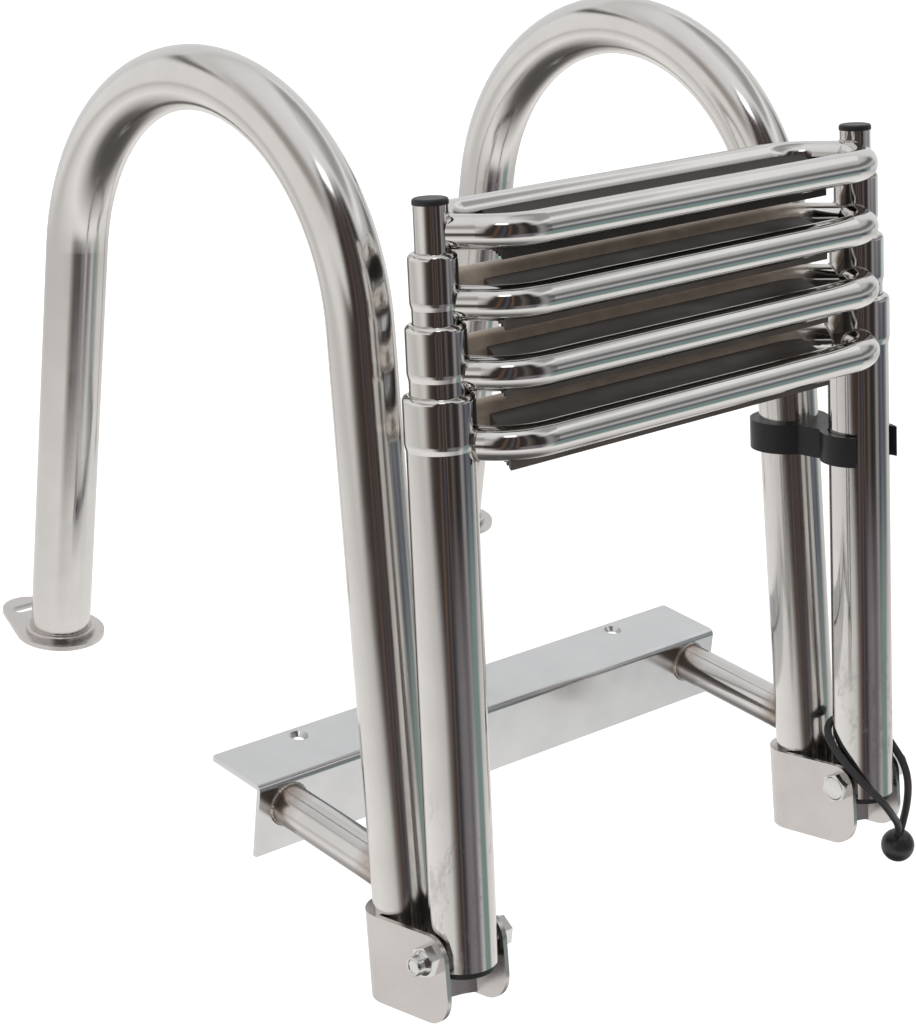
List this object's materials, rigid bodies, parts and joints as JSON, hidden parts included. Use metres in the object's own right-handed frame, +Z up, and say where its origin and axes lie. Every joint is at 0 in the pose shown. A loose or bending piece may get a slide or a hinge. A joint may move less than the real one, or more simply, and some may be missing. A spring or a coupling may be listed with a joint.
{
  "type": "folding ladder",
  "caption": "Telescoping boarding ladder stowed upright between two arched deck handrails, with loop rungs and grip treads.",
  "frame": {"origin": "on the deck, under the mounting angle, midway between the stiles", "axes": "+X along the rungs, +Y inboard over the deck, +Z up from the deck"},
  "size_m": [0.4364, 0.4812, 0.5258],
  "materials": {
    "rail_steel": "polished stainless",
    "stile_steel": "mirror polished stainless",
    "plate_steel": "satin stainless plate",
    "bolt_steel": "machined stainless",
    "tread_plastic": "matt black ribbed plastic",
    "clip_plastic": "matt black moulded plastic",
    "cap_plastic": "black plastic",
    "ball_plastic": "gloss black plastic",
    "cord_rubber": "black elastic cord"
  },
  "bodies": {
    "deck_frame": {"handrail_left": "rail_steel", "deck_flange_left": "plate_steel", "hinge_clevis_left": "plate_steel", "hinge_stop_left": "plate_steel", "hinge_bolt_left": "bolt_steel", "hinge_nut_left": "bolt_steel", "standoff_left": "plate_steel", "handrail_right": "rail_steel", "deck_flange_right": "plate_steel", "hinge_clevis_right": "plate_steel", "hinge_stop_right": "plate_steel", "hinge_bolt_right": "bolt_steel", "hinge_nut_right": "bolt_steel", "standoff_right": "plate_steel", "mounting_angle": "plate_steel", "storage_clip": "clip_plastic"},
    "outer_stage": {"outer_rung": "stile_steel", "outer_tread": "tread_plastic", "ball_cord": "cord_rubber", "cord_ball": "ball_plastic", "outer_tube_left": "stile_steel", "outer_collar_left": "stile_steel", "foot_plug_left": "cap_plastic", "outer_tube_right": "stile_steel", "outer_collar_right": "stile_steel", "foot_plug_right": "cap_plastic"},
    "second_stage": {"second_rung": "stile_steel", "second_tread": "tread_plastic", "second_tube_left": "stile_steel", "second_collar_left": "stile_steel", "second_tube_right": "stile_steel", "second_collar_right": "stile_steel"},
    "third_stage": {"third_rung": "stile_steel", "third_tread": "tread_plastic", "third_tube_left": "stile_steel", "third_collar_left": "stile_steel", "third_tube_right": "stile_steel", "third_collar_right": "stile_steel"},
    "inner_stage": {"inner_rung": "stile_steel", "inner_tread": "tread_plastic", "inner_tube_left": "stile_steel", "top_cap_left": "cap_plastic", "inner_tube_right": "stile_steel", "top_cap_right": "cap_plastic"}
  },
  "joints": [
    {"name": "ladder_fold", "type": "hinge", "parent": "deck_frame", "child": "outer_stage", "pos_m": [0, -0.182, -0.0308], "axis": [1, 0, 0], "range_deg": [0, 180], "deforming": ["ball_cord"]},
    {"name": "second_slide", "type": "slide", "parent": "outer_stage", "child": "second_stage", "axis": [0, 0.1788, 0.9839], "range_m": [0, 0.24]},
    {"name": "third_slide", "type": "slide", "parent": "second_stage", "child": "third_stage", "axis": [0, 0.1788, 0.9839], "range_m": [0, 0.24]},
    {"name": "inner_slide", "type": "slide", "parent": "third_stage", "child": "inner_stage", "axis": [0, 0.1788, 0.9839], "range_m": [0, 0.24]}
  ]
}
